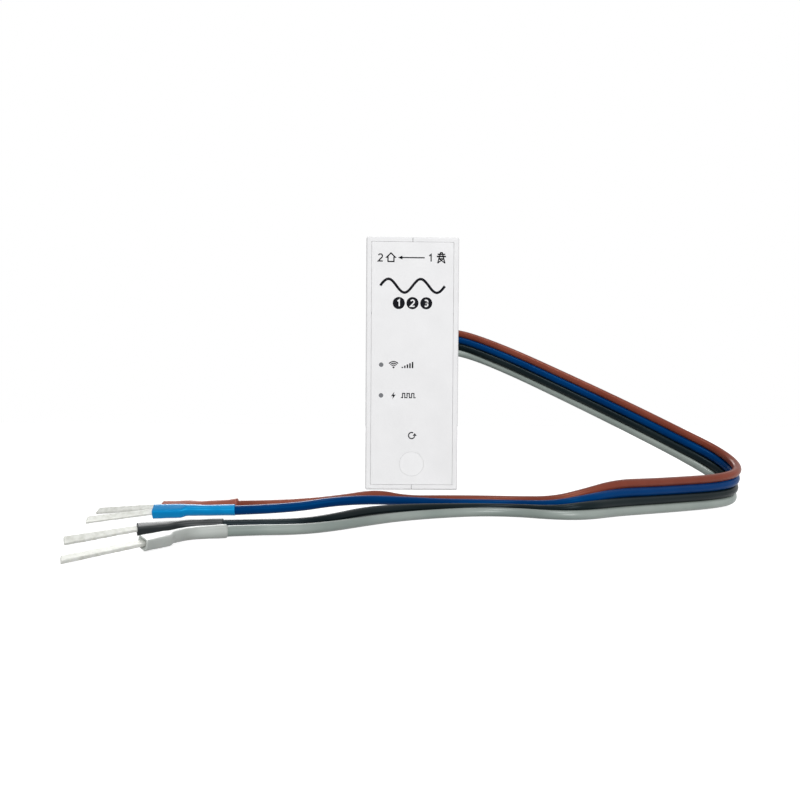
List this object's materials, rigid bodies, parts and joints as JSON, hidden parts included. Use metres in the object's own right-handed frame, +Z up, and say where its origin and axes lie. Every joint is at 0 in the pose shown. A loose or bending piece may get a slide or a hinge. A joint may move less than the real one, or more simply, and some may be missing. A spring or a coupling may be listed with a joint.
{
  "type": "energy meter",
  "caption": "Upright box energy meter with through bores for live conductors, status lamps, a reset button and short supply wires that end in flat pins.",
  "frame": {"origin": "centre of the casing's bottom end, on the surface it stands on", "axes": "+Z up the casing, -Y out of the front plate, +X towards the side that the wires leave"},
  "size_m": [0.188, 0.1926, 0.094],
  "materials": {
    "casing": "fine matt moulded finish, pale grey white",
    "front_plate": "smooth matt printed plate",
    "button": "smooth matt moulding",
    "light_guide": "smoked clear plastic",
    "lamp_body": "clear encapsulation",
    "circuit_board": "green solder mask",
    "shield_can": "tinned sheet",
    "black_plastic": "moulded black",
    "plunger_plastic": "moulded",
    "screw_steel": "zinc plated",
    "transformer_tape": "yellow tape wrap",
    "capacitor_can": "sleeved can",
    "varistor_coat": "epoxy dipped",
    "fuse_ceramic": "coated ceramic",
    "comb_plastic": "moulded",
    "core_metal": "wound strip core",
    "coil_copper": "enamelled copper turns",
    "pvc_brown": "satin PVC",
    "pvc_blue": "satin PVC",
    "pvc_black": "satin PVC",
    "pvc_gray": "satin PVC",
    "shrink_brown": "shrunk sleeve",
    "shrink_blue": "shrunk sleeve",
    "shrink_black": "shrunk sleeve",
    "shrink_gray": "shrunk sleeve",
    "tinned_copper": "bright tinned"
  },
  "bodies": {
    "meter": {"board_link": "black_plastic", "board_screw_lower": "screw_steel", "board_screw_upper": "screw_steel", "case_left": "casing", "case_right": "casing", "ct_coil_lower": "coil_copper", "ct_coil_middle": "coil_copper", "ct_coil_upper": "coil_copper", "ct_core_lower": "core_metal", "ct_core_middle": "core_metal", "ct_core_upper": "core_metal", "ct_foot_lower": "comb_plastic", "ct_foot_middle": "comb_plastic", "ct_foot_upper": "comb_plastic", "front_plate": "front_plate", "fuse_resistor": "fuse_ceramic", "light_guide_lower": "light_guide", "light_guide_upper": "light_guide", "logic_board": "circuit_board", "main_board": "circuit_board", "metering_chip": "black_plastic", "pin_black": "tinned_copper", "pin_blue": "tinned_copper", "pin_brown": "tinned_copper", "pin_gray": "tinned_copper", "radio_board": "circuit_board", "radio_shield": "shield_can", "reset_switch": "black_plastic", "sleeve_black": "shrink_black", "sleeve_blue": "shrink_blue", "sleeve_brown": "shrink_brown", "sleeve_gray": "shrink_gray", "status_lamp_lower": "lamp_body", "status_lamp_upper": "lamp_body", "supply_capacitor_lower": "capacitor_can", "supply_capacitor_upper": "capacitor_can", "supply_transformer": "transformer_tape", "surge_varistor": "varistor_coat", "terminal_block": "black_plastic", "wire_black": "pvc_black", "wire_blue": "pvc_blue", "wire_brown": "pvc_brown", "wire_comb": "comb_plastic", "wire_gray": "pvc_gray"},
    "button": {"reset_button": "button", "switch_plunger": "plunger_plastic"}
  },
  "joints": [
    {"name": "reset_press", "type": "slide", "parent": "meter", "child": "button", "axis": [0, 1, 0], "range_m": [0, 0.0005], "stiffness_N_per_m": 300}
  ]
}
